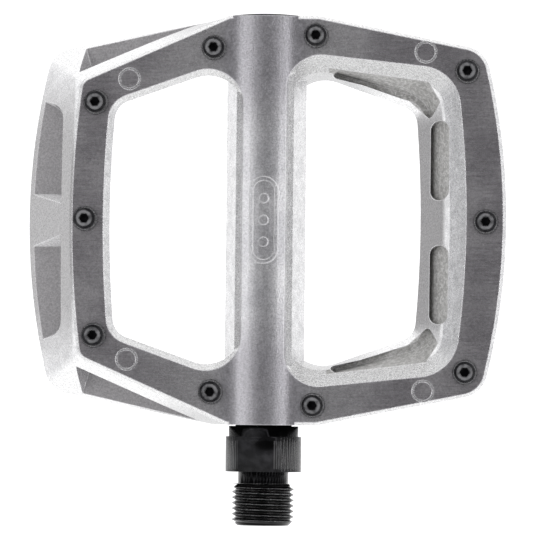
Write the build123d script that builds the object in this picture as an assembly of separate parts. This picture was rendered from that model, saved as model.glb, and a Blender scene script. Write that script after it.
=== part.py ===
"""Flat bicycle pedal, left side: cast platform on a loose-ball axle.

Millimetres. The origin is on the axle's axis, on the collar face that seats on
the crank. +Y runs along the axle away from the crank, +X is across the
platform and +Z is up through the upper pins. The platform is its own twin
under a half turn about the axle, and mirrors about its middle along the axle.
"""

import os
from dataclasses import dataclass
from math import atan, cos, pi, sin, sqrt

from build123d import *

# ---- platform ------------------------------------------------------------
body_start = 10.8          # end of the barrel nearest the crank
body_length = 94.2         # along the axle
face_thickness = 17.5      # from lower to upper face
edge_bevel = 0.7           # on every outer rim of the two faces
half_length = body_length / 2
mid_y = body_start + half_length
body_end = body_start + body_length
face = face_thickness / 2


@dataclass(frozen=True)
class Rim:
    """Outer outline of one half of a face."""

    flat: float            # half width of the straight end next to the barrel
    side: float            # farthest reach from the axle
    bow: float             # how much the side curves back at its corner
    setback: float         # corner's distance from the platform's end
    radius: float          # corner radius

    @property
    def corner_x(self):
        return self.side - self.bow

    @property
    def corner_y(self):
        return half_length - self.setback


@dataclass(frozen=True)
class WindowRim:
    """Outline of a window where it meets one face."""

    rim: Rim               # outer outline of the same half of the face
    wall: float            # width of the face between window and side
    bow: float             # how much the window's side curves back at its corner
    setback: float         # outer corner's distance from the platform's end
    slope: float           # how fast the end edge spreads towards the barrel
    inner_radius: float    # corner next to the barrel
    outer_radius: float    # corner away from the barrel
    bevel: float           # width of the rim bevel
    bevel_depth: float     # depth of the rim bevel

    @property
    def side(self):
        return self.rim.side - self.wall

    @property
    def corner_x(self):
        return self.side - self.bow

    @property
    def corner_y(self):
        return half_length - self.setback


wide_rim = Rim(flat=12.4, side=55.7, bow=5.2, setback=7.65, radius=6.5)
narrow_rim = Rim(flat=8.3, side=44.95, bow=2.3, setback=15.1, radius=3.4)
wide_window = WindowRim(wide_rim, wall=9.2, bow=2.6, setback=12.2, slope=0.106,
                        inner_radius=8.0, outer_radius=9.5, bevel=3.8, bevel_depth=3.75)
narrow_window = WindowRim(narrow_rim, wall=7.9, bow=1.3, setback=19.9, slope=0.356,
                          inner_radius=8.3, outer_radius=6.0, bevel=1.4, bevel_depth=1.1)
narrow_slope = (half_length - narrow_rim.corner_y) / (narrow_rim.corner_x - narrow_rim.flat)

# ---- bearings --------------------------------------------------------------
ball_radius = 1.5875       # 1/8 inch
race_gap = 0.03            # between ball and race
fit_gap = 0.03             # sliding fits on the stud
seal_gap = 0.05            # seal's lip on its journal
shoulder_reach = 0.9       # from a ring of balls to its cup's floor
inner_ball_count = 11
inner_ball_gap = 0.4       # between neighbouring balls at the crank end
inner_cup_wall = 0.63      # behind the balls
inner_cup_start = body_start + 3.8
inner_cup_length = 5.8
inner_ball_y = inner_cup_start + 2.4
inner_ring_radius = (ball_radius + inner_ball_gap / 2) / sin(pi / inner_ball_count)
inner_seat_radius = inner_ring_radius + ball_radius + race_gap + inner_cup_wall
inner_seat_end = inner_cup_start + inner_cup_length
inner_cup_hole = inner_ring_radius - 1.05
outer_ball_count = 10
outer_ball_gap = 0.16
outer_cup_wall = 0.48
outer_ball_y = body_end - 11.4
outer_seat_start = outer_ball_y - 3.6
outer_cup_end = outer_ball_y + 2.6
outer_ring_radius = (ball_radius + outer_ball_gap / 2) / sin(pi / outer_ball_count)
outer_seat_radius = outer_ring_radius + ball_radius + race_gap + outer_cup_wall
outer_cup_hole = outer_ring_radius - 0.8
bore_radius = outer_seat_radius - 0.7
cone_nose_radius = outer_ring_radius - ball_radius - 0.09
cone_start = outer_ball_y - 1.6
cone_end = outer_ball_y + 4.9
cone_hexagon = 2.4         # length of the cone's hexagon
cone_radius = outer_ring_radius + 0.2
cone_flats = sqrt(3) * (outer_ring_radius + 0.38)
washer_thickness = 1.0
washer_radius = cone_radius - 0.2
washer_end = cone_end + washer_thickness
tab_clearance = 0.05
nut_flats = cone_flats
nut_thickness = 3.2
nut_end = washer_end + nut_thickness

# ---- axle ------------------------------------------------------------------
thread_radius = 7.13       # 9/16 inch, 20 per inch, left hand
thread_reach = 12.4        # from the collar face to the end
thread_relief = 2.8        # length of the undercut next to the collar
relief_radius = 5.8
thread_chamfer = 1.2
centre_radius = 1.6        # lathe centre in the end
collar_radius = 8.75
collar_length = 8.1
wrench_flats = 15.0        # across flats
wrench_length = 7.1
wrench_turn = 11.0         # degrees from +Z towards -X
runout_radius = 6.0        # of the cutter that leaves the flats
neck_radius = 8.05
neck_end = body_start - 0.3
journal_radius = inner_ring_radius + 0.15   # the seal's lip runs here
journal_end = inner_cup_start - 0.2
race_lip = 0.3             # how far the inner cone stays inside the ball circle
shaft_radius = inner_ring_radius - ball_radius - 0.05
shaft_small = outer_cup_hole - 0.4           # at the outer end
stud_start = cone_start - 0.4
stud_radius = 3.0          # thread for cone and nut
stud_end = nut_end + 0.6
keyway_width = 1.6
keyway_depth = 0.7
keyway_start = cone_end - 0.3

# ---- seals and dust cap ------------------------------------------------------
seal_start = body_start + 0.5
seal_end = inner_cup_start - 0.6
seal_lip = 0.8             # lip's thickness
cap_skirt_gap = 0.05
cap_skirt_radius = outer_seat_radius - cap_skirt_gap
cap_skirt_length = 3.8
cap_wall = 0.85
cap_plate = 1.0            # thickness inside the flange
cap_flange_radius = cap_skirt_radius + 1.1
cap_flange_rim = 0.35      # flange's thickness at its edge
cap_dome = 0.55            # rise of the flange's middle above its edge
cap_key = 6.0              # hexagon for the key, across flats
cap_key_depth = 0.8
ring_radius = 0.42         # section of the rubber ring
ring_gap = 0.05
ring_seat_radius = outer_seat_radius + 0.8
ring_seat_depth = 2 * (ring_radius + ring_gap) + 0.06

# ---- barrel around the axle ----------------------------------------------
strip_half = 4.9           # half width of the rounded strip on top
strip_step = 0.37          # height of the strip's edges above the faces
strip_rise = 1.05          # height of the strip's middle above the faces
barrel_wall = 1.2          # least wall over the inner bearing seat
shoulder_step = 1.7        # width and depth of the bevel beside the strip
waist_wall = 1.7           # wall beside the outer bearing seat
skirt_width = 2.7          # width of the hollow curves that end on the faces
strip_edge = face + strip_step
crest = max(face + strip_rise, inner_seat_radius + barrel_wall)
shoulder_half = strip_half + shoulder_step
shoulder_height = strip_edge - shoulder_step
waist_half = outer_seat_radius + waist_wall
skirt_half = strip_half + skirt_width

# ---- traction pins ---------------------------------------------------------
@dataclass(frozen=True)
class PinRow:
    """Where the five pins of one half of a face stand."""

    rim: Rim
    middle_in: float       # middle pin, in from the side
    corner_in: float       # corner pins, in from the side
    corner_back: float     # and back from the platform's end
    barrel_out: float      # pins beside the barrel, out from the axle
    barrel_back: float     # and back from the platform's end


narrow_pins = PinRow(narrow_rim, 3.75, 5.95, 20.25, 11.85, 7.5)
wide_pins = PinRow(wide_rim, 4.7, 9.2, 12.55, 11.65, 4.6)
pin_head_radius = 2.45
pin_height = 3.5           # above the spotface
pin_bevel = 0.55
pin_shank_radius = 2.0     # M4
pin_shank = 3.6
pin_hole_extra = 0.3       # hole depth beyond the shank
hex_key = 2.0              # across flats
hex_depth = 2.1
spotface_radius = pin_head_radius + 0.35
spotface_depth = 0.15

# ---- cast notches and pockets --------------------------------------------
notch_skin = 2.35          # metal left under a notch, down to the far face
notch_in = 8.6             # front notch wall, in from the wide side
notch_back = 21.5          # front notch's far corner, back from the end
notch_flare = 0.42         # slope of the front notch's far end
notch_radius = 5.0
rib_half = 6.0             # half width of the rib between two front notches
rib_ramp = 2.5             # how far the rib narrows from floor to rim
far_ramp = 1.2             # the same at the far end
end_notch_wall = 2.1       # metal left between a face and an end notch
end_notch_in = 14.5        # end notch's corner, in from the wide side
end_notch_lean = 0.28      # slope of the end notch's short side
end_ramp = 2.4             # slant of that side from floor to rim
ramp_drop = 3.25           # depth below the near face at which ramps are measured
pocket_depth = 1.5         # depth of the pockets behind the window walls
pocket_cover = 0.4         # metal left between a pocket and the pin holes below it
pocket_skin = spotface_depth + pin_shank + pin_hole_extra + pocket_cover
slot_in = 4.15             # slot pocket, in from the window's side
slot_width = 4.4
slot_skin = 2.5            # metal left under it, down to the far face
slot_near = 5.2            # its end next to the rib
slot_back = 23.6           # its other end, back from the platform's end
horn_shape = ((-29.3, -1.3), (-27.3, 0.1), (-6.5, -2.6), (-3.7, -7.3), (-6.1, -10.9), (-10.9, -6.6), (-21.9, -3.0))
horn_radii = (0.6, 1.2, 4.0, 1.8, 0.8, 9.0, 12.0)
mark_size = 5.0            # round cast marks on the faces
mark_width = 0.35
mark_depth = 0.2
narrow_mark = (13.65, 14.8)    # in from the side, back from the end
wide_mark = (18.8, 8.15)
emblem_length = 20.0       # plain stadium ring cast on the barrel
emblem_width = 6.6
emblem_line = 0.9
emblem_rise = 0.25
emblem_dot = 1.1           # radius of the three dots inside it
emblem_pitch = 5.0
notch_floor = face - notch_skin
ramp_top = face - ramp_drop


def lift(sketch, height):
    """Place a sketch at a height."""
    return Pos(0, 0, height) * sketch


def twin(shape):
    """The same shape after a half turn about the axle."""
    return Rot(0, 180, 0) * shape


def flip(shape):
    """The same shape mirrored about the platform's middle."""
    return mirror(shape, Plane.XZ)


def bar(outline, start, end):
    """Prism along the axle between two places on it, from points or edges across it."""
    profile = Plane.XZ * make_face(outline)
    return Pos(0, start, 0) * extrude(profile, end - start, dir=(0, 1, 0))


def rod(radius, start, end):
    """Plain round length on the axle's axis."""
    return Pos(0, start, 0) * extrude(Plane.XZ * Circle(radius), end - start, dir=(0, 1, 0))


def turned(*points):
    """Solid turned about the axle's axis, from (radius, y) points."""
    return revolve(make_face(Polyline(*points, close=True)), Axis.Y)


def race_ring(ring_radius, ball_y):
    """Torus that leaves a race round a ring of balls."""
    return Pos(0, ball_y, 0) * Rot(90, 0, 0) * Torus(ring_radius, ball_radius + race_gap)


# ---- platform ------------------------------------------------------------------
def rim_section(rim, inset, height):
    """One half of a face outline at one height, drawn in by inset."""
    x, y = rim.corner_x, rim.corner_y
    edges = Polyline((x, y), (rim.flat, half_length), (0, half_length),
                     (0, -half_length), (rim.flat, -half_length), (x, -y))
    edges += ThreePointArc((x, -y), (rim.side, 0), (x, y))
    outline = make_face(edges)
    outline = fillet(outline.vertices().group_by(Axis.X)[-1], rim.radius)
    if inset:
        outline = offset(outline, -inset)
        outline += Pos(inset / 2, 0) * Rectangle(inset * 2, 2 * (half_length - inset))
        outline &= Pos(rim.side / 2, 0) * Rectangle(rim.side, body_length)
    return lift(outline, height)


def window_section(rim, inset, height):
    """Window outline at one height, drawn in by inset on all sides but the barrel's."""
    x, y = rim.corner_x, rim.corner_y
    inner_x = strip_half - inset
    inner_y = y + rim.slope * (x - inner_x)
    edges = Polyline((x, y), (inner_x, inner_y), (inner_x, -inner_y), (x, -y))
    edges += ThreePointArc((x, -y), (rim.side, 0), (x, y))
    outline = make_face(edges)
    outline = fillet(outline.vertices().group_by(Axis.X)[0], rim.inner_radius + inset)
    outer = [v for v in outline.vertices() if abs(v.X - x) < 0.01]
    outline = fillet(outer, rim.outer_radius)
    if inset:
        outline = offset(outline, -inset)
    return lift(outline, height)


def half_platform():
    """Half of the platform whose upper face is the wide one, before any window."""
    sections = [rim_section(narrow_rim, edge_bevel, -face),
                rim_section(narrow_rim, 0, edge_bevel - face),
                rim_section(wide_rim, 0, face - edge_bevel),
                rim_section(wide_rim, edge_bevel, face)]
    return loft(sections, ruled=True)


def window_cut(grown=0.0):
    """Space of the window that is wide above, with its walls pushed out by grown."""
    low, high = narrow_window, wide_window
    sections = [window_section(low, -grown, -face),
                window_section(low, low.bevel - grown, low.bevel_depth - face),
                window_section(high, high.bevel - grown, face - high.bevel_depth),
                window_section(high, -grown, face)]
    above = extrude(sections[-1], crest - face, dir=(0, 0, 1))
    below = extrude(sections[0], crest - face, dir=(0, 0, -1))
    return loft(sections, ruled=True) + above + below


def barrel():
    """Tube round the axle, between the windows."""
    upper = [ThreePointArc((-strip_half, strip_edge), (0, crest), (strip_half, strip_edge))]
    upper += [Polyline((strip_half, strip_edge), (shoulder_half, shoulder_height), (waist_half, 0),
                       (shoulder_half, -shoulder_height), (strip_half, -strip_edge))]
    lower = [Rot(0, 0, 180) * edge for edge in upper]
    return bar(upper + lower, -half_length, half_length)


def strip_fillet():
    """Rounded strip with the hollow curves that let it down onto the upper face."""
    side = [TangentArc((sign * skirt_half, face), (sign * strip_half, strip_edge), tangent=(-sign, 0))
            for sign in (1, -1)]
    crown = ThreePointArc((-strip_half, strip_edge), (0, crest), (strip_half, strip_edge))
    base = Polyline((skirt_half, face), (skirt_half, 0), (-skirt_half, 0), (-skirt_half, face))
    return bar([crown, base] + side, -half_length, half_length)


def ramped_cut(corners, rounded, radius):
    """Notch cut from above whose sides lean from the floor corners to those at the ramps' top."""
    sections = []
    for points, height in zip(corners, (-notch_floor, ramp_top)):
        outline = make_face(Polyline(*points, close=True))
        if radius:
            place = points[rounded]
            outline = fillet(outline.vertices().sort_by_distance((place[0], place[1], 0))[0], radius)
        sections.append(lift(outline, height))
    return loft(sections, ruled=True)


def front_notch():
    """Notch in the sloping front wall, open outwards, on one side of the middle rib."""
    out = wide_rim.side + 5
    reach = wide_rim.side - notch_in
    far_y = half_length - notch_back
    corners = []
    for rib, far in ((rib_half, far_y), (rib_half - rib_ramp, far_y + far_ramp)):
        flare = notch_flare * (out - reach)
        corners.append([(-reach, rib), (-reach, far), (-out, far + flare), (-out, rib)])
    return ramped_cut(corners, 1, notch_radius)


def end_notch():
    """Three-cornered notch in the sloping end wall, open outwards."""
    gap = end_notch_wall / cos(atan(narrow_slope))
    tip = half_length + narrow_slope * narrow_rim.flat + gap
    out = tip + 2
    corners = []
    for shift in (0, end_ramp):
        reach = wide_rim.side - end_notch_in + shift
        near = half_length - narrow_slope * (reach - narrow_rim.flat) + gap
        lean = end_notch_lean * (out - near)
        corners.append([(-reach, near), (0, tip), (0, out), (-reach - lean, out)])
    return ramped_cut(corners, 0, 0)


def slot_pocket():
    """Rounded slot sunk into the far wall of the wide window."""
    slot_far = half_length - slot_back
    centre = Pos(wide_window.side - slot_in - slot_width / 2, (slot_near + slot_far) / 2)
    outline = centre * Rot(0, 0, 90) * SlotOverall(slot_far - slot_near, slot_width)
    return lift(extrude(outline, face_thickness), slot_skin - face)


def horn_pocket():
    """Curved horn sunk into the end wall and corner of the wide window."""
    corners = [(wide_window.corner_x + x, wide_window.corner_y + y) for x, y in horn_shape]
    outline = make_face(Polyline(*corners, close=True))
    for place, radius in zip(corners, horn_radii):
        outline = fillet(outline.vertices().sort_by_distance((*place, 0))[0], radius)
    return lift(extrude(outline, face_thickness), pocket_skin - face)


def cast_marks():
    """Round marks left by the casting tool on the upper face."""
    ring = Circle(mark_size / 2) - Circle(mark_size / 2 - mark_width)
    ring = extrude(ring, 1.0)
    places = [(narrow_mark[0] - narrow_rim.side, half_length - narrow_mark[1]),
              (wide_rim.side - wide_mark[0], half_length - wide_mark[1])]
    return [Pos(x, sign * y, face - mark_depth) * ring for x, y in places for sign in (1, -1)]


def emblem():
    """Plain stadium ring with three dots, standing slightly proud of the barrel's crest."""
    ring = SlotOverall(emblem_length, emblem_width) - SlotOverall(emblem_length - 2 * emblem_line,
                                                                 emblem_width - 2 * emblem_line)
    dots = [Pos(step * emblem_pitch, 0) * Circle(emblem_dot) for step in (-1, 0, 1)]
    raised = extrude(Rot(0, 0, 90) * (ring + dots), crest + 1)
    crown = ThreePointArc((-strip_half, strip_edge + emblem_rise), (0, crest + emblem_rise),
                          (strip_half, strip_edge + emblem_rise))
    base = Polyline((strip_half, strip_edge + emblem_rise), (strip_half, shoulder_height),
                    (-strip_half, shoulder_height), (-strip_half, strip_edge + emblem_rise))
    return raised & bar([crown, base], -half_length, half_length)


def pin_places():
    """Centres of the ten upper pins, anticlockwise from the one beside the barrel."""
    places = []
    for row, side, way in ((narrow_pins, -1, 1), (wide_pins, 1, -1)):
        corner_x = side * (row.rim.side - row.corner_in)
        corner_y = half_length - row.corner_back
        barrel_y = half_length - row.barrel_back
        places += [(side * row.barrel_out, way * barrel_y), (corner_x, way * corner_y),
                   (side * (row.rim.side - row.middle_in), 0),
                   (corner_x, -way * corner_y), (side * row.barrel_out, -way * barrel_y)]
    return places


def pin_holes():
    """Spotfaces and tapped holes for the upper pins."""
    spotface = Pos(0, 0, face - spotface_depth) * extrude(Circle(spotface_radius), 1.0)
    depth = spotface_depth + pin_shank + pin_hole_extra
    hole = Pos(0, 0, face - depth) * extrude(Circle(pin_shank_radius), depth)
    return [Pos(x, y, 0) * cut for x, y in pin_places() for cut in (spotface, hole)]


def bores():
    """Everything that is bored along the axle's axis."""
    return [rod(bore_radius, body_start - 1, body_end + 1),
            rod(inner_seat_radius, body_start - 1, inner_seat_end),
            rod(outer_seat_radius, outer_seat_start, body_end + 1),
            rod(ring_seat_radius, body_end - ring_seat_depth, body_end + 1)]


def pedal_body():
    """Cast and machined platform, all in one piece."""
    half = half_platform()
    fillets = strip_fillet()
    window = window_cut()
    body = half + twin(half) + fillets + twin(fillets)
    body = body - window - twin(window) + barrel()
    one_side = [front_notch(), end_notch()]
    deepened = window_cut(pocket_depth)
    one_side += [pocket & deepened for pocket in (slot_pocket(), horn_pocket())]
    cuts = one_side + [flip(cut) for cut in one_side] + cast_marks() + pin_holes()
    body -= cuts + [twin(cut) for cut in cuts]
    body += emblem()
    body = Pos(0, mid_y, 0) * body
    return body - bores()


# ---- pins ------------------------------------------------------------------------
def traction_pin():
    """Screw with a tall round head and a hexagon socket, standing on z = 0."""
    head = extrude(Circle(pin_head_radius), pin_height)
    head = chamfer(head.edges().group_by(Axis.Z)[-1], pin_bevel)
    socket = RegularPolygon(hex_key / 2, 6, major_radius=False)
    head -= Pos(0, 0, pin_height - hex_depth) * extrude(socket, hex_depth)
    return head + extrude(Circle(pin_shank_radius), -pin_shank)


def pins():
    """All pins by node name, upper ones first."""
    pin = traction_pin()
    named = {}
    for number, (x, y) in enumerate(pin_places(), 1):
        placed = Pos(x, mid_y + y, face - spotface_depth) * pin
        named[f"top_pin_{number}"] = placed
        named[f"bottom_pin_{number}"] = twin(placed)
    return named


# ---- axle ------------------------------------------------------------------------
def wrench_cut():
    """Cutter path that leaves one wrench flat and runs out across the neck."""
    half_flats = wrench_flats / 2
    wide = 2 * collar_radius
    flat = Pos(0, wrench_length / 2, half_flats + collar_radius / 2) * Box(wide, wrench_length, collar_radius)
    wheel = Pos(0, wrench_length, half_flats + runout_radius) * Rot(0, 90, 0) * Cylinder(runout_radius, wide)
    return flat + wheel


def axle():
    """Spindle with its thread, collar, inner cone and stud in one piece."""
    shaft = turned((0, -thread_reach), (thread_radius - thread_chamfer, -thread_reach),
                   (thread_radius, thread_chamfer - thread_reach), (thread_radius, -thread_relief),
                   (relief_radius, -thread_relief), (relief_radius, 0), (collar_radius, 0),
                   (collar_radius, collar_length), (neck_radius, collar_length), (neck_radius, neck_end),
                   (journal_radius, neck_end), (journal_radius, journal_end),
                   (inner_ring_radius - race_lip, inner_ball_y - ball_radius),
                   (inner_ring_radius - race_lip, inner_ball_y), (shaft_radius, inner_ball_y),
                   (shaft_small, stud_start), (stud_radius, stud_start), (stud_radius, stud_end), (0, stud_end))
    shaft -= race_ring(inner_ring_radius, inner_ball_y)
    for turn in (wrench_turn, wrench_turn + 180):
        shaft -= Rot(0, -turn, 0) * wrench_cut()
    shaft -= Pos(0, -thread_reach, 0) * Rot(-90, 0, 0) * Cone(centre_radius, 0, 2 * centre_radius)
    keyway = Box(keyway_width, stud_end - keyway_start, keyway_depth)
    shaft -= Pos(0, (stud_end + keyway_start) / 2, stud_radius - keyway_depth / 2) * keyway
    return shaft


# ---- bearings ----------------------------------------------------------------------
def inboard_seal():
    """Rubber ring with a thin lip on the axle's journal."""
    lip_radius = journal_radius + seal_gap
    web = (lip_radius + inner_seat_radius) / 2
    return turned((lip_radius, seal_start), (inner_seat_radius, seal_start), (inner_seat_radius, seal_end),
                  (web, seal_end), (web, seal_start + seal_lip), (lip_radius, seal_start + seal_lip))


def inboard_cup():
    """Pressed race that opens towards the crank."""
    floor_y = inner_ball_y + shoulder_reach
    ring = turned((inner_ring_radius, inner_cup_start), (inner_seat_radius, inner_cup_start),
                  (inner_seat_radius, inner_seat_end), (inner_cup_hole, inner_seat_end),
                  (inner_cup_hole, floor_y), (inner_ring_radius, floor_y))
    return ring - rod(inner_ring_radius + ball_radius / 2, inner_cup_start - 1, inner_ball_y) - race_ring(
        inner_ring_radius, inner_ball_y)


def outboard_cup():
    """Pressed race that opens away from the crank."""
    floor_y = outer_ball_y - shoulder_reach
    ring = turned((outer_cup_hole, outer_seat_start), (outer_seat_radius, outer_seat_start),
                  (outer_seat_radius, outer_cup_end), (outer_ring_radius, outer_cup_end),
                  (outer_ring_radius, floor_y), (outer_cup_hole, floor_y))
    return ring - rod(outer_ring_radius + ball_radius / 2, outer_ball_y, outer_cup_end + 1) - race_ring(
        outer_ring_radius, outer_ball_y)


def balls(ring_radius, ball_y, count):
    """Loose balls spaced evenly round a ring."""
    ball = Pos(ring_radius, ball_y, 0) * Sphere(ball_radius)
    return Compound(children=[Rot(0, 360 * step / count, 0) * ball for step in range(count)])


def hexagon(flats, start, end):
    """Hexagon bar on the axle's axis."""
    profile = Plane.XZ * RegularPolygon(flats / 2, 6, major_radius=False)
    return Pos(0, start, 0) * extrude(profile, end - start, dir=(0, 1, 0))


def adjusting_cone():
    """Threaded race that sets the play, with a hexagon for its wrench."""
    hexagon_start = cone_end - cone_hexagon
    rim_y = outer_ball_y + ball_radius + 0.3
    cone = turned((0, cone_start), (cone_nose_radius, cone_start), (cone_nose_radius, outer_ball_y),
                  (outer_ring_radius, outer_ball_y), (outer_ring_radius, rim_y),
                  (cone_radius, rim_y + 0.3), (cone_radius, hexagon_start), (0, hexagon_start))
    cone += hexagon(cone_flats, hexagon_start, cone_end)
    cone -= race_ring(outer_ring_radius, outer_ball_y)
    return cone - rod(stud_radius + fit_gap, cone_start - 1, cone_end + 1)


def tab_washer():
    """Washer whose tab sits in the stud's keyway."""
    washer = rod(washer_radius, cone_end, washer_end) - rod(stud_radius + fit_gap, cone_end, washer_end)
    bottom = stud_radius - keyway_depth + tab_clearance
    tab = Box(keyway_width - 2 * tab_clearance, washer_thickness, stud_radius + 1 - bottom)
    return washer + Pos(0, (cone_end + washer_end) / 2, (stud_radius + 1 + bottom) / 2) * tab


def lock_nut():
    """Hexagon nut that locks the cone."""
    return hexagon(nut_flats, washer_end, nut_end) - rod(stud_radius + fit_gap, washer_end, nut_end)


def dust_cap():
    """Domed cap screwed into the end of the barrel, with a hexagon for its key."""
    rim_y = body_end + cap_flange_rim
    floor_y = body_end - cap_plate
    skirt_y = body_end - cap_skirt_length
    inner = cap_skirt_radius - cap_wall
    neck = ring_seat_radius - 2 * (ring_radius + ring_gap)
    seat_y = body_end - ring_seat_depth
    dome = ThreePointArc((cap_flange_radius, rim_y),
                         (cap_flange_radius / 2, rim_y + 0.75 * cap_dome), (0, rim_y + cap_dome))
    edges = Polyline((0, rim_y + cap_dome), (0, floor_y), (inner, floor_y), (inner, skirt_y),
                     (cap_skirt_radius, skirt_y), (cap_skirt_radius, seat_y), (neck, seat_y),
                     (neck, body_end), (cap_flange_radius, body_end), (cap_flange_radius, rim_y))
    cap = revolve(make_face(dome + edges), Axis.Y)
    return cap - hexagon(cap_key, rim_y + cap_dome - cap_key_depth, rim_y + cap_dome + 1)


def cap_o_ring():
    """Rubber ring under the cap's flange."""
    height = body_end - ring_seat_depth / 2
    return Pos(0, height, 0) * Rot(90, 0, 0) * Torus(ring_seat_radius - ring_gap - ring_radius, ring_radius)


def main():
    """Write one STEP file for each node."""
    nodes = {
        "pedal_body": pedal_body(),
        "axle": axle(),
        "inboard_seal": inboard_seal(),
        "inboard_cup": inboard_cup(),
        "inboard_balls": balls(inner_ring_radius, inner_ball_y, inner_ball_count),
        "outboard_cup": outboard_cup(),
        "outboard_balls": balls(outer_ring_radius, outer_ball_y, outer_ball_count),
        "adjusting_cone": adjusting_cone(),
        "tab_washer": tab_washer(),
        "lock_nut": lock_nut(),
        "dust_cap": dust_cap(),
        "cap_o_ring": cap_o_ring(),
    }
    nodes.update(pins())
    os.makedirs("parts", exist_ok=True)
    for name, shape in nodes.items():
        export_step(shape, f"parts/{name}.step")


main()
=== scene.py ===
"""Flat bicycle pedal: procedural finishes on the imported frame, a cut axle thread, stage, light and camera."""

import logging
import math
from dataclasses import dataclass, field
from enum import Enum
from typing import Any, Dict, List, Optional, Sequence, Tuple, Union

import bmesh
import bpy
from mathutils import Matrix, Vector


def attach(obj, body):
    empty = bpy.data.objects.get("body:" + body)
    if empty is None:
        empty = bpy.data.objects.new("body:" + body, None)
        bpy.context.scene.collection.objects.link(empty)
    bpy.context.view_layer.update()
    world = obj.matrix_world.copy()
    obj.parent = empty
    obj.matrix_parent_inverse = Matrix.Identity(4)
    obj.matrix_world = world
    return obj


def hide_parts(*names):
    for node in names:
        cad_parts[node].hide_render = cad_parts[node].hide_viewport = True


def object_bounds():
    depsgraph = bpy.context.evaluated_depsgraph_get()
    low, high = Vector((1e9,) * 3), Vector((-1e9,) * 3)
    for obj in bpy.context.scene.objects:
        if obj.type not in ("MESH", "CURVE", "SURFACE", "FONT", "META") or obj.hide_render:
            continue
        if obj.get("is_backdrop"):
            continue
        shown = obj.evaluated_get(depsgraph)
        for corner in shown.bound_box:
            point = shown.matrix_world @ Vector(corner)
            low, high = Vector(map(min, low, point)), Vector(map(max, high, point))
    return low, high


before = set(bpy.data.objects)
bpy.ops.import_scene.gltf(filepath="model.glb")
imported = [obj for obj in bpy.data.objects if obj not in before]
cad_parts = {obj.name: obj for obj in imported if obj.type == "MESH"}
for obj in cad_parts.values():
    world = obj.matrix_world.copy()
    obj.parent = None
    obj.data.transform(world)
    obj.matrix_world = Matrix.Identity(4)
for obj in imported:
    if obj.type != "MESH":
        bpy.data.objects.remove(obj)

LOG = logging.getLogger("pedal")
MM = 0.001

Colour = Tuple[float, float, float]
Term = Union["Signal", float, int]


class Body(Enum):
    """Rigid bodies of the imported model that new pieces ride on."""

    AXLE = "axle"


class Slot(Enum):
    """Material slots of the record."""

    CASTING = "cast_aluminium"
    BLACK_STEEL = "black_steel"
    PIN_STEEL = "pin_steel"
    BEARING_STEEL = "bearing_steel"
    PLATED_STEEL = "plated_steel"
    RUBBER = "seal_rubber"
    PLASTIC = "black_plastic"


class Hand(Enum):
    """Hand of a screw thread, as the sign of its rise along +Y for a turn about +Y."""

    RIGHT = 1
    LEFT = -1


# ---------------------------------------------------------------- shader toolkit


class Signal:
    """One output of a shader node, usable in Python arithmetic."""

    def __init__(self, shader: "Shader", socket: bpy.types.NodeSocket) -> None:
        """Keeps the output socket and the tree that it is in."""
        self.shader = shader
        self.socket = socket

    def __add__(self, other: Term) -> "Signal":
        """This value plus another."""
        return self.shader.math("ADD", self, other)

    __radd__ = __add__

    def __sub__(self, other: Term) -> "Signal":
        """This value less another."""
        return self.shader.math("SUBTRACT", self, other)

    def __rsub__(self, other: Term) -> "Signal":
        """Another value less this one."""
        return self.shader.math("SUBTRACT", other, self)

    def __mul__(self, other: Term) -> "Signal":
        """This value times another."""
        return self.shader.math("MULTIPLY", self, other)

    __rmul__ = __mul__

    def __pow__(self, other: Term) -> "Signal":
        """This value raised to a power."""
        return self.shader.math("POWER", self, other)

    def __abs__(self) -> "Signal":
        """This value without its sign."""
        return self.shader.math("ABSOLUTE", self)

    def lower(self, other: Term) -> "Signal":
        """The lower of this value and another."""
        return self.shader.math("MINIMUM", self, other)

    def higher(self, other: Term) -> "Signal":
        """The higher of this value and another."""
        return self.shader.math("MAXIMUM", self, other)

    def ramp(self, start: float, end: float, low: float = 0.0, high: float = 1.0) -> "Signal":
        """Eases from one value to another as this value goes from start to end.

        Args:
            start: Value at and before which the result is low.
            end: Value at and past which the result is high.
            low: Result at start.
            high: Result at end.

        Returns:
            The eased value.
        """
        if start > end:
            start, end, low, high = end, start, high, low
        return self.shader.signal(
            "ShaderNodeMapRange",
            "Result",
            {"interpolation_type": "SMOOTHSTEP", "clamp": True},
            {"Value": self, "From Min": start, "From Max": end, "To Min": low, "To Max": high},
        )


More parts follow.
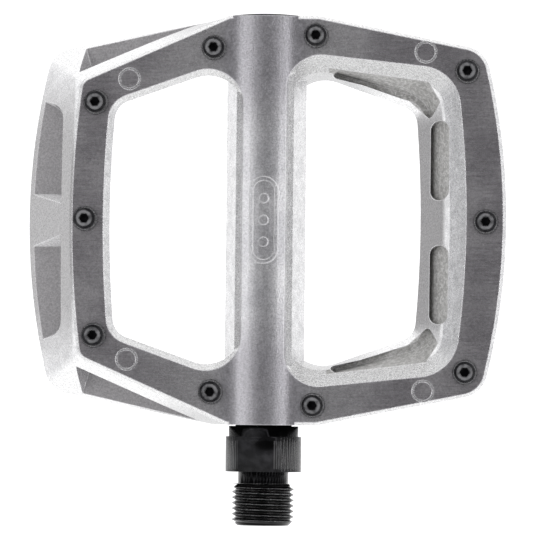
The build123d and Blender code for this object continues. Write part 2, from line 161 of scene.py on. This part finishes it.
class Shader:
    """A node tree with one way to add any node."""

    def __init__(self, tree: bpy.types.NodeTree) -> None:
        """Takes over a tree and empties it."""
        self.tree = tree
        tree.nodes.clear()

    def add(
        self, kind: str, settings: Optional[Dict[str, Any]] = None, inputs: Optional[Dict[Any, Any]] = None
    ) -> bpy.types.Node:
        """Adds a node.

        Args:
            kind: The node's type.
            settings: Attributes set before the sockets.
            inputs: Values or links of the sockets, by name or place.

        Returns:
            The new node.
        """
        node = self.tree.nodes.new(kind)
        for name, value in (settings or {}).items():
            setattr(node, name, value)
        for name, value in (inputs or {}).items():
            socket = node.inputs[name]
            if isinstance(value, Signal):
                self.tree.links.new(value.socket, socket)
            else:
                socket.default_value = value
        return node

    def signal(
        self,
        kind: str,
        output: Any = 0,
        settings: Optional[Dict[str, Any]] = None,
        inputs: Optional[Dict[Any, Any]] = None,
    ) -> Signal:
        """Adds a node and gives one of its outputs.

        Args:
            kind: The node's type.
            output: The output, by name or place.
            settings: As in add.
            inputs: As in add.

        Returns:
            The output.
        """
        return Signal(self, self.add(kind, settings, inputs).outputs[output])

    def math(self, operation: str, *terms: Term) -> Signal:
        """Adds a Math node over one or two terms."""
        return self.signal("ShaderNodeMath", 0, {"operation": operation}, dict(enumerate(terms)))

    def vector(self, operation: str, *terms: Any) -> Signal:
        """Adds a Vector Math node over one or two vectors."""
        return self.signal("ShaderNodeVectorMath", "Vector", {"operation": operation}, dict(enumerate(terms)))

    def blend(self, factor: Term, first: Any, second: Any, mode: str = "MIX") -> Signal:
        """Mixes two colours.

        Args:
            factor: Share of the second colour.
            first: Colour at factor 0.
            second: Colour at factor 1.
            mode: Blend type of the Mix node.

        Returns:
            The mixed colour.
        """
        pair = [c if isinstance(c, Signal) else (*c, 1.0) for c in (first, second)]
        settings = {"data_type": "RGBA", "blend_type": mode, "clamp_factor": True}
        return self.signal("ShaderNodeMix", 2, settings, {0: factor, 6: pair[0], 7: pair[1]})

    def grey(self, level: Signal) -> Signal:
        """A grey colour of that level."""
        return self.signal("ShaderNodeCombineColor", 0, {"mode": "RGB"}, {0: level, 1: level, 2: level})

    def level_between(self, share: Term, first: Term, second: Term) -> Signal:
        """A value that goes from first to second as share goes from 0 to 1."""
        return self.signal("ShaderNodeMix", 0, {"data_type": "FLOAT"}, {0: share, 2: first, 3: second})

    def noise(
        self, place: Signal, scale: float, detail: float = 3.0, roughness: float = 0.5, distortion: float = 0.0
    ) -> Signal:
        """Fractal noise over a place.

        Args:
            place: Vector that the noise is read at.
            scale: Cells in a unit of place.
            detail: Octaves.
            roughness: Weight of each finer octave.
            distortion: How far the noise bends itself.

        Returns:
            A value from 0 to 1, mostly near 0.5.
        """
        return self.signal(
            "ShaderNodeTexNoise",
            0,
            {"noise_dimensions": "3D"},
            {"Vector": place, "Scale": scale, "Detail": detail, "Roughness": roughness, "Distortion": distortion},
        )

    def stretched(self, place: Signal, scale: Sequence[float], turn: Sequence[float] = (0.0, 0.0, 0.0)) -> Signal:
        """A place scaled apart along each axis, so that a pattern on it becomes streaks."""
        inputs = {"Vector": place, "Rotation": tuple(turn), "Scale": tuple(scale)}
        return self.signal("ShaderNodeMapping", 0, {"vector_type": "POINT"}, inputs)

    def bump(self, height: Signal, strength: float, distance: float, under: Optional[Signal] = None) -> Signal:
        """Tilts the normal by a height.

        Args:
            height: Height over the surface, in units of distance.
            strength: Share of the effect.
            distance: Depth in metres for a height of 1.
            under: Normal that the effect is laid on.

        Returns:
            The new normal.
        """
        inputs: Dict[Any, Any] = {"Height": height, "Strength": strength, "Distance": distance}
        if under is not None:
            inputs["Normal"] = under
        return self.signal("ShaderNodeBump", 0, None, inputs)


class Surface(Shader):
    """A material's tree, with places in millimetres and a principled shader at its end."""

    def __init__(self, name: str) -> None:
        """Makes a material of that name."""
        self.material = bpy.data.materials.new(name)
        self.material.use_nodes = True
        super().__init__(self.material.node_tree)
        coordinates = self.add("ShaderNodeTexCoord")
        self.place = self.vector("MULTIPLY", Signal(self, coordinates.outputs["Object"]), (1 / MM,) * 3)
        self.x, self.y, self.z = self.split(self.place)
        self.facing = self.split(Signal(self, coordinates.outputs["Normal"]))

    def split(self, vector: Signal) -> Tuple[Signal, Signal, Signal]:
        """The three parts of a vector."""
        node = self.add("ShaderNodeSeparateXYZ", None, {0: vector})
        return Signal(self, node.outputs[0]), Signal(self, node.outputs[1]), Signal(self, node.outputs[2])

    def softened(self, radius: Term, samples: int = 4) -> Signal:
        """Normal that rounds every edge by a radius in metres."""
        return self.signal("ShaderNodeBevel", 0, {"samples": samples}, {"Radius": radius})

    def edge(self, soft: Signal, gain: float) -> Signal:
        """How near a sharp edge a point lies, from the rounded normal, as 0 to 1."""
        sharp = self.signal("ShaderNodeNewGeometry", "Normal")
        along = self.signal("ShaderNodeVectorMath", "Value", {"operation": "DOT_PRODUCT"}, {0: soft, 1: sharp})
        return ((1 - along) * gain).lower(1.0)

    def crevice(self, distance: float, samples: int = 6) -> Signal:
        """How open a point is to its surroundings, 0 in a deep corner and 1 in the open."""
        settings = {"samples": samples, "only_local": True}
        return self.signal("ShaderNodeAmbientOcclusion", "AO", settings, {"Distance": distance})

    def finish(self, **sockets: Any) -> bpy.types.Material:
        """Ends the tree in a principled shader.

        Args:
            sockets: Sockets by name, with underscores for spaces; plain colours have three parts.

        Returns:
            The material.
        """
        inputs = {}
        for name, value in sockets.items():
            colour = isinstance(value, tuple) and len(value) == 3
            inputs[name.replace("_", " ")] = (*value, 1.0) if colour else value
        shader = self.signal("ShaderNodeBsdfPrincipled", 0, None, inputs)
        self.add("ShaderNodeOutputMaterial", None, {"Surface": shader})
        return self.material


# ---------------------------------------------------------------- finishes


@dataclass(frozen=True)
class CastAluminium:
    """Bare die-cast aluminium: grained walls, blasted barrel and linished flat faces.

    Sizes are in millimetres.
    """

    face: float = 8.75
    middle: float = 57.9
    notch_floor: float = 6.4
    slot_middle: float = 14.35
    slot_straight: float = 6.95
    slot_across: float = 40.15
    slot_radius: float = 2.25
    grain_dark: float = 0.66
    cast_haze: float = 0.12
    pocket_haze: float = 0.9
    wall_colour: Colour = (0.86, 0.86, 0.87)
    wall_stain: Colour = (0.70, 0.70, 0.71)
    face_colour: Colour = (0.67, 0.648, 0.675)
    barrel_colour: Colour = (0.97, 0.97, 0.98)

    def material(self) -> bpy.types.Material:
        """Builds the finish."""
        s = Surface("cast_aluminium_finish")
        height, reach = abs(s.z), abs(s.x)
        barrel = reach.ramp(15.0, 7.5) * height.ramp(self.face - 0.15, self.face - 0.05)
        level = abs(height - self.face).ramp(0.05, 0.015) * (1 - barrel)
        upward = abs(s.facing[2]).ramp(0.88, 0.96)
        notch = abs(height - self.notch_floor).ramp(0.06, 0.02) * upward
        along = abs(s.y - self.middle)
        own_height = s.z * s.math("SIGN", s.x)
        pocket = self._slot(s, reach, along).higher(self._horn(reach, along))
        pocket = pocket * own_height.ramp(-6.8, -6.4) * own_height.ramp(7.5, 7.0)

        cloud = s.noise(s.place, 0.09, 3.0, 0.55)
        blotch = s.noise(s.place, 0.4, 4.0, 0.6)
        grain = s.noise(s.place, 2.0, 2.0, 0.6)
        speck = s.noise(s.place, 3.6, 1.0, 0.5)
        belt = s.noise(s.stretched(s.place, (0.16, 3.2, 1.0)), 1.0, 4.0, 0.65)

        wall = s.blend(blotch.ramp(0.35, 0.7), self.wall_colour, self.wall_stain)
        # painted shade: the far wall inside the window and the near outer wall are marked here and darkened below
        inner_far = (abs(s.x - 37.5)).ramp(4.4, 3.2) * s.z.ramp(4.2, 3.2)
        outer_near = (s.x * -1).ramp(43.6, 44.4) * along.ramp(40.0, 18.0)
        # painted highlight: walls that face along the axle are blended towards white
        across = abs(s.facing[1]).ramp(0.2, 0.6)
        wall = s.blend(across * 0.8, wall, (1.0, 1.0, 1.0))
        # painted shade: those two walls blended towards dark grey
        wall = s.blend(inner_far * along.ramp(30.0, 22.0) * (1 - across), wall, (0.31, 0.305, 0.31))
        wall = s.blend(outer_near * (1 - across), wall, (0.44, 0.435, 0.44))
        # painted shade: steep walls blended towards grey, except the notch-end faces
        steep = abs(s.facing[2]).ramp(0.35, 0.12)
        notch_end = abs(s.facing[1]).ramp(0.8, 0.9) * reach.ramp(46.7, 47.0) * along.ramp(28.0, 27.0)
        notch_end = notch_end * height.ramp(8.7, 8.6)
        wall = s.blend(steep * (1 - notch_end) * 0.8, wall, (0.42, 0.42, 0.425))
        crest = s.blend(cloud.ramp(0.35, 0.65), self.barrel_colour, (0.80, 0.80, 0.82))
        # painted reflection: the barrel crest lighter at the middle and darker towards its ends
        crest = s.blend(along.ramp(14.0, 34.0), crest, (0.62, 0.61, 0.64))
        linished = s.blend((cloud * 0.75 + belt * 0.25).ramp(0.4, 0.6), self.face_colour, (0.82, 0.80, 0.82))
        # painted highlight: the flat faces lighter towards the barrel
        linished = s.blend(reach.ramp(34.0, 12.0) * 0.85, linished, (1.0, 0.99, 1.0))
        colour = s.blend(barrel, wall, crest)
        colour = s.blend(notch, colour, (0.76, 0.745, 0.755))
        crinkle = s.noise(s.place, 1.1, 4.0, 0.75, 0.6)
        rough_cast = s.blend(crinkle.ramp(0.42, 0.6), (0.44, 0.435, 0.42), (0.74, 0.735, 0.72))
        colour = s.blend(pocket, colour, rough_cast)
        colour = s.blend(level, colour, linished)
        # the notch-end faces are held out of the grain and stay white, a painted highlight
        mottle = (grain * 0.55 + speck * 0.45).ramp(0.3, 0.7, self.grain_dark, 1.0).higher(notch_end)
        colour = s.blend(1.0, colour, s.grey(mottle), "MULTIPLY")
        # painted shade: corners and hollows darkened by ambient occlusion
        crevice = s.crevice(0.9 * MM).ramp(0.3, 0.75, 0.6, 0.0) * (1 - pocket * 0.3)
        colour = s.blend(crevice, colour, (0.22, 0.215, 0.21))

        soft = s.softened(0.3 * MM)
        # painted highlight: sharp edges blended towards near white
        edge_highlight = s.edge(soft, 8.0)
        colour = s.blend(edge_highlight * 0.9, colour, (0.96, 0.96, 0.97))

        satin = blotch * 0.1 + grain * 0.1 + 0.17 + barrel * 0.06
        scratched = belt * 0.12 + cloud * 0.08 + 0.18
        roughness = satin + (scratched - satin) * level + pocket * 0.2 + notch * 0.16
        relief = (grain * 0.45 + speck * 0.55) * (1 - level * 0.75) * (1 - notch * 0.7)
        relief = relief + crinkle * pocket * 3 + belt * level * 0.05
        normal = s.bump(relief, 1.0, 0.065 * MM, soft)
        metal = 1 - (1 - level) * (1 - barrel) * (1 - notch) * self.cast_haze - pocket * self.pocket_haze
        metal = metal * (1 - notch_end * 0.85)
        return s.finish(Base_Color=colour, Metallic=metal, Roughness=roughness, Normal=normal)

    def _slot(self, s: Surface, reach: Signal, along: Signal) -> Signal:
        """Masks the rounded slots sunk into the windows' far walls.

        Args:
            s: The finish's surface.
            reach: Distance across, out from the axle.
            along: Distance along the axle, out from the platform's middle.

        Returns:
            1 inside a slot's outline and 0 outside it.
        """
        beyond = (abs(along - self.slot_middle) - self.slot_straight).higher(0.0)
        sideways = reach - self.slot_across
        away = s.math("SQRT", beyond * beyond + sideways * sideways)
        return away.ramp(self.slot_radius + 0.1, self.slot_radius - 0.1)

    @staticmethod
    def _horn(reach: Signal, along: Signal) -> Signal:
        """Masks the curved horns sunk into the windows' end walls, from the lines that bound them.

        Args:
            reach: Distance across, out from the axle.
            along: Distance along the axle, out from the platform's middle.

        Returns:
            1 inside a horn's outline and 0 outside it.
        """
        shallow = along + reach * 0.327 - 39.1
        steep = (along + reach * 0.896 - 57.87) * 0.75
        floor_side = shallow.higher(steep).ramp(-0.1, 0.1)
        far_side = (37.2 - (along + reach * 0.13)).ramp(-0.1, 0.1)
        corner = (95.3 - (along + reach * 1.68)).ramp(-0.2, 0.2)
        tip = (along - reach * 1.5 + 32.5).ramp(-0.2, 0.2)
        return floor_side * far_side * corner * tip * reach.ramp(14.4, 14.8)


@dataclass(frozen=True)
class BlackSteel:
    """Blackened alloy steel of the axle, with a fine ribbed collar, wear and painted highlights on its sharp edges,
    painted highlights on the ribs and painted shade on the upward flats and thread roots.

    Sizes are in millimetres.
    """

    collar_radius: float = 8.75
    collar_start: float = 0.5
    collar_end: float = 7.3
    relief_radius: float = 5.8
    ribs: int = 96

    def material(self) -> bpy.types.Material:
        """Builds the finish."""
        s = Surface("black_steel_finish")
        radius = (s.x * s.x + s.z * s.z) ** 0.5
        angle = s.math("ARCTAN2", s.x, s.z)
        round_part = radius.ramp(self.collar_radius - 0.18, self.collar_radius - 0.06)
        length = s.y.ramp(self.collar_start, self.collar_start + 0.3) * s.y.ramp(self.collar_end, self.collar_end - 0.3)
        ribbed = round_part * length
        ribs = s.math("SINE", angle * self.ribs) * 0.5 + 0.5
        grain = s.noise(s.place, 2.2, 4.0, 0.6)
        cloud = s.noise(s.place, 0.5, 3.0, 0.5)
        turned = s.noise(s.stretched(s.place, (0.2, 6.0, 0.2)), 1.0, 3.0, 0.6)
        soft = s.softened(0.12 * MM)
        edge_highlight = s.edge(soft, 5.0) * grain.ramp(0.3, 0.6)
        undercut = radius.ramp(self.relief_radius + 0.3, self.relief_radius + 0.1) * s.y.ramp(-3.0, -2.8)
        threaded = s.y.ramp(-2.6, -2.9)
        edge_highlight = edge_highlight * (1 - undercut * s.y.ramp(0.2, -0.2))
        shaded_flat = abs(s.facing[2]).ramp(0.97, 0.99) * length * (1 - round_part)
        colour = s.blend(cloud.ramp(0.35, 0.7), (0.014, 0.014, 0.015), (0.028, 0.028, 0.030))
        # painted shade: the upward wrench flats of the collar darkened to near black
        colour = s.blend(shaded_flat * 0.75, colour, (0.003, 0.003, 0.003))
        # painted shade: the thread roots darkened
        colour = s.blend(threaded * radius.ramp(6.9, 6.1), colour, (0.004, 0.004, 0.004))
        # wear and painted highlight: sharp edges lightened to mid grey
        colour = s.blend(edge_highlight * 0.8, colour, (0.55, 0.55, 0.55))
        # painted highlight: the chamfer of the first thread turn lightened
        first_turn = s.y.ramp(-3.5, -3.3) * s.y.ramp(-2.6, -2.7)
        colour = s.blend(first_turn * grain.ramp(0.3, 0.6, 0.4, 0.9), colour, (0.22, 0.22, 0.22))
        # painted highlights: light lines along the collar's ribs
        colour = s.blend(ribs * ribbed * 0.5, colour, (0.14, 0.14, 0.14))
        roughness = grain * 0.14 + turned * 0.08 + 0.12
        height = grain * 0.25 + turned * 0.15 + ribs * ribbed * 0.9
        normal = s.bump(height, 0.5, 0.11 * MM, soft)
        return s.finish(Base_Color=colour, Metallic=0.9, Roughness=roughness, Normal=normal)


@dataclass(frozen=True)
class PinSteel:
    """Black-oxide screws, with a painted highlight on the top rim of each head and wear and painted highlights on their
    edges.
    """

    base: Colour = (0.014, 0.014, 0.016)

    def material(self) -> bpy.types.Material:
        """Builds the finish."""
        s = Surface("pin_steel_finish")
        grain = s.noise(s.place, 3.4, 3.0, 0.55)
        cloud = s.noise(s.place, 0.8, 2.0, 0.5)
        soft = s.softened(0.1 * MM)
        edge_highlight = s.edge(soft, 4.0)
        colour = s.blend(cloud.ramp(0.35, 0.7), self.base, (0.03, 0.03, 0.032))
        # wear and painted highlight: edges lightened a little
        colour = s.blend(edge_highlight * 0.3, colour, (0.4, 0.4, 0.4))
        # painted highlight: a grey ring on the flat top of each head, away from its edges
        inner = 1 - s.edge(s.softened(0.42 * MM), 16.0)
        rim = abs(s.facing[2]).ramp(0.985, 0.995) * abs(s.z).ramp(11.9, 12.05) * inner
        colour = s.blend(rim * cloud.ramp(0.3, 0.6, 0.4, 1.0), colour, (0.42, 0.42, 0.43))
        roughness = grain * 0.14 + cloud * 0.06 + 0.16 + rim * 0.14
        normal = s.bump(grain, 0.3, 0.05 * MM, soft)
        return s.finish(Base_Color=colour, Metallic=1.0, Roughness=roughness, Normal=normal)


@dataclass(frozen=True)
class GroundSteel:
    """Bright hardened steel of balls, races and cone, with grinding lines round the axle.

    Args:
        name: Name of the material.
        tone: Colour of the metal.
        dull: Roughness before variation.
    """

    name: str
    tone: Colour
    dull: float

    def material(self) -> bpy.types.Material:
        """Builds the finish."""
        s = Surface(self.name)
        rings = s.noise(s.stretched(s.place, (0.3, 9.0, 0.3)), 1.0, 3.0, 0.6)
        stain = s.noise(s.place, 0.6, 3.0, 0.55)
        darker = tuple(part * 0.72 for part in self.tone)
        colour = s.blend(stain.ramp(0.35, 0.75), self.tone, darker)
        roughness = rings * 0.12 + stain * 0.08 + self.dull
        normal = s.bump(rings, 0.2, 0.03 * MM, s.softened(0.08 * MM))
        return s.finish(Base_Color=colour, Metallic=1.0, Roughness=roughness, Normal=normal)


@dataclass(frozen=True)
class Moulded:
    """A moulded black part, rubber or plastic, with a fine skin texture.

    Args:
        name: Name of the material.
        tone: Colour.
        dull: Roughness before variation.
        cell: Texture cells in a millimetre.
    """

    name: str
    tone: Colour
    dull: float
    cell: float

    def material(self) -> bpy.types.Material:
        """Builds the finish."""
        s = Surface(self.name)
        skin = s.signal("ShaderNodeTexVoronoi", "Distance", {"feature": "F1"}, {"Vector": s.place, "Scale": self.cell})
        dust = s.noise(s.place, 0.7, 4.0, 0.6)
        lighter = tuple(part * 1.9 for part in self.tone)
        colour = s.blend(dust.ramp(0.4, 0.75), self.tone, lighter)
        roughness = dust * 0.16 + skin * 0.1 + self.dull
        normal = s.bump(skin * 0.6 + dust * 0.4, 0.35, 0.05 * MM, s.softened(0.15 * MM))
        return s.finish(Base_Color=colour, Metallic=0.0, Roughness=roughness, Normal=normal)


# ---------------------------------------------------------------- mesh helpers


def merged_copy(node: str) -> bmesh.types.BMesh:
    """A copy of a CAD node's mesh with its loose triangles joined.

    Args:
        node: Name of the CAD node.

    Returns:
        The joined copy.
    """
    shape = bmesh.new()
    shape.from_mesh(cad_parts[node].data)
    bmesh.ops.remove_doubles(shape, verts=shape.verts, dist=1e-6)
    return shape


def cut_off(shape: bmesh.types.BMesh, at: float, keep: int) -> None:
    """Cuts a shape square to Y and leaves the cut open.

    Args:
        shape: Shape to cut.
        at: Place of the cut along Y.
        keep: 1 to keep what lies past the cut, -1 to keep what lies before it.
    """
    geometry = [*shape.verts, *shape.edges, *shape.faces]
    bmesh.ops.bisect_plane(
        shape, geom=geometry, dist=1e-7, plane_co=(0, at, 0), plane_no=(0, keep, 0), clear_inner=True
    )


def close_at(shape: bmesh.types.BMesh, at: float) -> List[bmesh.types.BMFace]:
    """Closes the open edge that lies at a place along Y.

    Args:
        shape: Shape with an open edge there.
        at: Place along Y.

    Returns:
        The new faces.
    """
    rim = [e for e in shape.edges if e.is_boundary and all(abs(v.co.y - at) < 1e-6 for v in e.verts)]
    return bmesh.ops.holes_fill(shape, edges=rim, sides=0)["faces"]


def finished_piece(
    name: str, shape: bmesh.types.BMesh, material: bpy.types.Material, crease: float
) -> bpy.types.Object:
    """Turns a shape into a shaded object at the origin.

    Args:
        name: Name of the piece.
        shape: Its shape, which is freed.
        material: Its finish.
        crease: Angle in degrees past which an edge stays sharp.

    Returns:
        The object, linked to the scene.
    """
    bmesh.ops.recalc_face_normals(shape, faces=shape.faces)
    mesh = bpy.data.meshes.new(name)
    shape.to_mesh(mesh)
    shape.free()
    mesh.materials.clear()
    mesh.materials.append(material)
    for polygon in mesh.polygons:
        polygon.use_smooth = True
        polygon.material_index = 0
    mesh.set_sharp_from_angle(angle=math.radians(crease))
    piece = bpy.data.objects.new(name, mesh)
    bpy.context.scene.collection.objects.link(piece)
    return piece


# ---------------------------------------------------------------- sub-assemblies


@dataclass
class CrankThread:
    """The 9/16 inch x 20 thread that screws into the crank, cut left-handed."""

    crest: float = 7.13 * MM
    root: float = 6.35 * MM
    pitch: float = 1.27 * MM
    start: float = -12.4 * MM
    end: float = -2.8 * MM
    start_radius: float = 5.93 * MM
    end_radius: float = 5.8 * MM
    crest_share: float = 0.14
    root_share: float = 0.18
    flank_steps: int = 4
    steps: int = 60
    centre_radius: float = 1.5 * MM
    centre_depth: float = 1.3 * MM
    hand: Hand = Hand.LEFT

    def build(self) -> bmesh.types.BMesh:
        """Spins the tooth outline along its screw path and squares and bevels both ends."""
        shape = bmesh.new()
        ring = [shape.verts.new((radius, place, 0.0)) for place, radius in self._outline()]
        edges = [shape.edges.new(pair) for pair in zip(ring, ring[1:])]
        rise = self.hand.value * self.pitch / self.steps
        bmesh.ops.spin(
            shape,
            geom=ring + edges,
            cent=(0, 0, 0),
            axis=(0, 1, 0),
            dvec=(0, rise, 0),
            angle=2 * math.pi,
            steps=self.steps,
        )
        bmesh.ops.remove_doubles(shape, verts=shape.verts, dist=2e-6)
        cut_off(shape, self.start, 1)
        cut_off(shape, self.end, -1)
        self._bevel_ends(shape)
        bmesh.ops.remove_doubles(shape, verts=shape.verts, dist=2e-6)
        close_at(shape, self.end)
        self._drill_centre(shape, close_at(shape, self.start))
        return shape

    def _outline(self) -> List[Tuple[float, float]]:
        """Places along Y and radii of the teeth, with more teeth than the cuts keep."""
        flank = (1 - self.crest_share - self.root_share) / 2
        tooth = [(0.0, self.root), (self.root_share, self.root)]
        for step in range(1, self.flank_steps):
            share = step / self.flank_steps
            tooth.append((self.root_share + flank * share, self.root + (self.crest - self.root) * share))
        top = self.root_share + flank
        tooth += [(top, self.crest), (top + self.crest_share, self.crest)]
        for step in range(1, self.flank_steps):
            share = step / self.flank_steps
            tooth.append((top + self.crest_share + flank * share, self.crest - (self.crest - self.root) * share))
        teeth = math.ceil((self.end - self.start) / self.pitch) + 4
        first = self.start - 2 * self.pitch
        return [(first + (n + share) * self.pitch, radius) for n in range(teeth) for share, radius in tooth]

    def _bevel_ends(self, shape: bmesh.types.BMesh) -> None:
        """Draws in every point that stands outside the cones at the two ends."""
        for vert in shape.verts:
            radius = math.hypot(vert.co.x, vert.co.z)
            near = self.start_radius + (vert.co.y - self.start)
            far = self.end_radius + (self.end - vert.co.y) * 1.4
            limit = min(near, far)
            if radius > limit:
                vert.co.x *= limit / radius
                vert.co.z *= limit / radius

    def _drill_centre(self, shape: bmesh.types.BMesh, faces: List[bmesh.types.BMFace]) -> None:
        """Sinks the lathe centre into the end face."""
        margin = self.start_radius - self.centre_radius
        bmesh.ops.inset_region(shape, faces=faces, thickness=margin, use_even_offset=True)
        hole = bmesh.ops.extrude_discrete_faces(shape, faces=faces)["faces"][0]
        for vert in hole.verts:
            vert.co = (vert.co.x * 0.05, self.start + self.centre_depth, vert.co.z * 0.05)


@dataclass
class Axle:
    """The spindle: the CAD shape past the relief groove, with the cut thread in front of it."""

    thread: CrankThread = field(default_factory=CrankThread)
    crease: float = 32.0

    def build(self, material: bpy.types.Material) -> bpy.types.Object:
        """Makes the axle and lets it stand for its CAD node.

        Args:
            material: The blackened finish.

        Returns:
            The piece.
        """
        shape = merged_copy("axle")
        cut_off(shape, self.thread.end, 1)
        close_at(shape, self.thread.end)
        screw = self.thread.build()
        part = bpy.data.meshes.new("crank_thread")
        screw.to_mesh(part)
        screw.free()
        shape.from_mesh(part)
        bpy.data.meshes.remove(part)
        piece = finished_piece("axle_spindle", shape, material, self.crease)
        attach(piece, Body.AXLE.value)
        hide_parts("axle")
        return piece


@dataclass
class Dressing:
    """Gives every carried-over CAD node the finish of its slot."""

    finishes: Dict[Slot, bpy.types.Material]
    nodes: Dict[Slot, Tuple[str, ...]]

    def apply(self) -> None:
        """Puts the finishes on the nodes."""
        for slot, names in self.nodes.items():
            for name in names:
                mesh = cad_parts[name].data
                mesh.materials.clear()
                mesh.materials.append(self.finishes[slot])
                LOG.info("finish %s on %s", slot.value, name)


@dataclass
class Stage:
    """Pale floor, studio surround and soft lights."""

    floor_level: float
    floor_half: float = 1.6
    overhead: float = 0.136
    sides: float = 0.55
    ends: float = 1.0
    belt: float = 0.75
    bright_side: float = 0.4

    def build(self) -> None:
        """Makes the floor, the surround and the lights."""
        self._floor()
        self._surround()
        self._softbox("left_softbox", (-0.62, 0.06, 0.95), (0.1, 0.5), 0.5)
        self._softbox("right_softbox", (0.66, 0.03, 0.9), (0.1, 0.5), 0.5)

    def _floor(self) -> None:
        """A large pale sheet, just clear of the turning platform."""
        shape = bmesh.new()
        bmesh.ops.create_grid(shape, x_segments=1, y_segments=1, size=self.floor_half)
        bmesh.ops.translate(shape, verts=shape.verts, vec=(0, 0, self.floor_level))
        mesh = bpy.data.meshes.new("floor")
        shape.to_mesh(mesh)
        shape.free()
        floor = bpy.data.objects.new("floor", mesh)
        bpy.context.scene.collection.objects.link(floor)
        s = Surface("floor_paper")
        fibre = s.noise(s.place, 0.02, 2.0, 0.5)
        colour = s.blend(fibre, (0.5, 0.5, 0.5), (0.54, 0.54, 0.54))
        mesh.materials.append(
            s.finish(
                Base_Color=colour,
                Roughness=0.9,
                Metallic=0.0,
                Emission_Color=(1.0, 1.0, 1.0),
                Emission_Strength=0.8,
            )
        )
        floor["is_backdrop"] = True

    def _surround(self) -> None:
        """A studio that is white all round and darker straight above."""
        world = bpy.data.worlds.new("studio")
        world.use_nodes = True
        bpy.context.scene.world = world
        s = Shader(world.node_tree)
        direction = s.signal("ShaderNodeTexCoord", "Generated")
        parts = s.add("ShaderNodeSeparateXYZ", None, {0: direction})
        side, ahead, up = (Signal(s, parts.outputs[n]) for n in range(3))
        rim = abs(ahead) * (self.ends - self.sides) + self.sides + side.ramp(0.3, 0.9) * self.bright_side
        belt = up.ramp(0.45, 0.65) * up.ramp(0.92, 0.78) * (side * 0.4 + 0.6)
        level = s.level_between(up.ramp(0.78, 0.99), rim, self.overhead) + belt * self.belt + side * -0.04
        colour = s.blend(up.ramp(0.4, 0.95), (1.0, 1.0, 1.0), (0.98, 0.97, 1.0))
        background = s.signal("ShaderNodeBackground", 0, None, {"Color": colour, "Strength": level})
        s.add("ShaderNodeOutputWorld", None, {"Surface": background})

    def _softbox(self, name: str, place: Sequence[float], size: Tuple[float, float], power: float) -> None:
        """A rectangular lamp turned towards the pedal.

        Args:
            name: Its name.
            place: Where it stands, in metres.
            size: Its two sides, in metres.
            power: Its power, in watts.
        """
        data = bpy.data.lights.new(name, "AREA")
        data.shape = "RECTANGLE"
        data.size, data.size_y = size
        data.energy = power
        lamp = bpy.data.objects.new(name, data)
        lamp.location = place
        aim = Vector((0.0, 0.055, 0.0)) - Vector(place)
        lamp.rotation_euler = aim.to_track_quat("-Z", "Y").to_euler()
        bpy.context.scene.collection.objects.link(lamp)


@dataclass
class Camera:
    """A long lens straight above the pedal."""

    distance: float = 1.2
    lens: float = 350.1
    sensor: float = 36.0
    aim: Tuple[float, float, float] = (0.28 * MM, 47.46 * MM, 0.0)
    lean_x: float = 3.0
    lean_y: float = -1.5
    roll: float = 0.6

    def build(self) -> None:
        """Makes the camera and sets it as the scene's."""
        back = Vector((math.sin(math.radians(self.lean_x)), math.sin(math.radians(self.lean_y)), 1.0)).normalized()
        up = (Vector((0, 1, 0)) - back * back.y).normalized()
        right = up.cross(back)
        turn = math.radians(self.roll)
        new_up = up * math.cos(turn) - right * math.sin(turn)
        new_right = right * math.cos(turn) + up * math.sin(turn)
        data = bpy.data.cameras.new("camera")
        data.lens = self.lens
        data.sensor_width = self.sensor
        data.clip_start, data.clip_end = 0.05, 10.0
        camera = bpy.data.objects.new("camera", data)
        place = Matrix((new_right, new_up, back)).transposed().to_4x4()
        place.translation = Vector(self.aim) + back * self.distance
        camera.matrix_world = place
        bpy.context.scene.collection.objects.link(camera)
        bpy.context.scene.camera = camera


def corners(low: Vector, high: Vector) -> List[List[float]]:
    """Two corners as plain lists."""
    return [[float(part) for part in corner] for corner in (low, high)]


def main() -> None:
    """Dresses the frame, cuts the thread and sets up the studio."""
    logging.basicConfig(level=logging.INFO, format="%(message)s")
    cad_box = corners(*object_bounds())
    finishes = {
        Slot.CASTING: CastAluminium().material(),
        Slot.BLACK_STEEL: BlackSteel().material(),
        Slot.PIN_STEEL: PinSteel().material(),
        Slot.BEARING_STEEL: GroundSteel("bearing_steel_finish", (0.62, 0.62, 0.64), 0.1).material(),
        Slot.PLATED_STEEL: GroundSteel("plated_steel_finish", (0.55, 0.54, 0.50), 0.24).material(),
        Slot.RUBBER: Moulded("seal_rubber_finish", (0.014, 0.014, 0.014), 0.55, 4.0).material(),
        Slot.PLASTIC: Moulded("black_plastic_finish", (0.018, 0.018, 0.019), 0.38, 2.5).material(),
    }
    pins = tuple(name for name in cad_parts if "_pin_" in name)
    Dressing(
        finishes,
        {
            Slot.CASTING: ("pedal_body",),
            Slot.PIN_STEEL: pins,
            Slot.BEARING_STEEL: ("inboard_cup", "outboard_cup", "inboard_balls", "outboard_balls", "adjusting_cone"),
            Slot.PLATED_STEEL: ("tab_washer", "lock_nut"),
            Slot.RUBBER: ("inboard_seal", "cap_o_ring"),
            Slot.PLASTIC: ("dust_cap",),
        },
    ).apply()
    spindle = Axle().build(finishes[Slot.BLACK_STEEL])
    LOG.info("piece %s with %d faces", spindle.name, len(spindle.data.polygons))
    swing = Vector((cad_box[1][0], cad_box[1][2])).length
    Stage(floor_level=-swing - 1.0 * MM).build()
    Camera().build()
    bpy.context.scene.view_settings.view_transform = "Standard"


if __name__ == "__main__":
    main()
